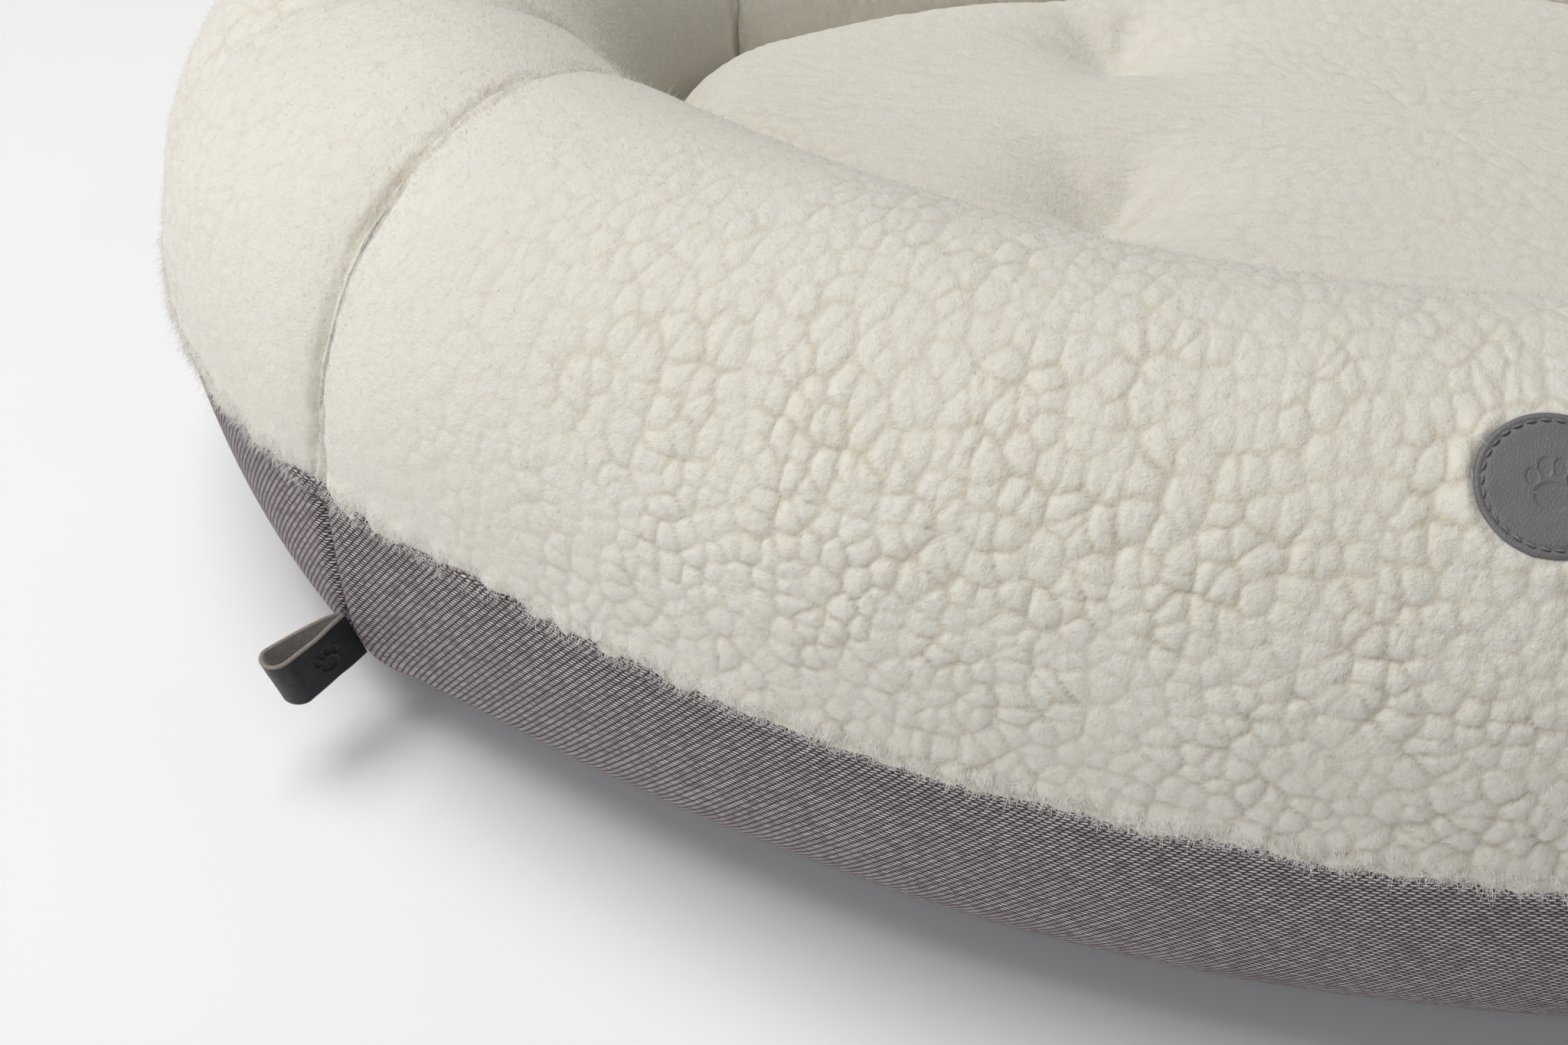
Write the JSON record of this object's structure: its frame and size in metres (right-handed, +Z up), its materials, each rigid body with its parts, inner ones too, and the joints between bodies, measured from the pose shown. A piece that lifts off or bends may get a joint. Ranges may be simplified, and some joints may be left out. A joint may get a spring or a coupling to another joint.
{
  "type": "pet cushion bed",
  "caption": "Oval pet bed with a padded fleece rim on a twill base band, a loose tufted cushion inside it, a leather tag loop and a round leather patch.",
  "frame": {"origin": "middle of the underside, on the floor", "axes": "+Z up, -Y towards the front with the patch, +X to the right seen from the front"},
  "size_m": [0.9, 0.6138, 0.208],
  "materials": {
    "sherpa_fleece": "deep curled pile, cream",
    "melange_twill": "coarse woven twill, grey-mauve melange",
    "base_cloth": "dotted non-slip cloth",
    "lining": "plain white cotton",
    "fibre_filling": "loose fibre",
    "foam": "open-cell foam",
    "grey_leather": "smooth matt grey leather",
    "dark_leather": "smooth near-black leather with a raw flesh side",
    "thread": "twisted polyester thread",
    "zip_tape": "woven tape",
    "zip_coil": "nylon coil",
    "zip_metal": "gunmetal"
  },
  "bodies": {
    "bed_rim": {"bottom_panel": "base_cloth", "base_pad": "foam", "nest_floor": "lining", "fleece_front": "sherpa_fleece", "fleece_right": "sherpa_fleece", "fleece_back": "sherpa_fleece", "fleece_left": "sherpa_fleece", "band_front": "melange_twill", "band_right": "melange_twill", "band_back": "melange_twill", "band_left": "melange_twill", "hem_front": "melange_twill", "hem_right": "melange_twill", "hem_back": "melange_twill", "hem_left": "melange_twill", "hem_topstitch": "thread", "rim_casing": "lining", "rim_filling": "fibre_filling", "leather_patch": "grey_leather", "patch_stitching": "thread", "tag_tails": "dark_leather", "zip_tape_upper": "zip_tape", "zip_tape_lower": "zip_tape", "zip_teeth": "zip_coil", "zip_stops": "zip_metal"},
    "loose_cushion": {"cushion_top": "sherpa_fleece", "cushion_underside": "melange_twill", "cushion_casing": "lining", "cushion_filling": "fibre_filling", "tuft_ties": "thread"},
    "tag": {"tag_loop": "dark_leather"},
    "slider": {"zip_slider": "zip_metal"},
    "pull": {"zip_pull": "zip_metal"}
  },
  "joints": [
    {"name": "cushion_lift", "type": "slide", "parent": "bed_rim", "child": "loose_cushion", "axis": [0, 0, 1], "range_m": [0, 0.22]},
    {"name": "tag_bend", "type": "hinge", "parent": "bed_rim", "child": "tag", "pos_m": [-0.34486, -0.1938, 0.03875], "axis": [-0.1563, -0.2229, 0.9622], "range_deg": [-60, 60], "stiffness_Nm_per_rad": 0.03},
    {"name": "zip_run", "type": "hinge", "parent": "bed_rim", "child": "slider", "pos_m": [0, -0.298, 0.05568], "axis": [0, 0, 1], "range_deg": [-30, 0]},
    {"name": "pull_swing", "type": "hinge", "parent": "slider", "child": "pull", "pos_m": [-0.15581, 0.2835, 0.05477], "axis": [0.9659, 0.2588, 0], "range_deg": [0, 140]}
  ]
}
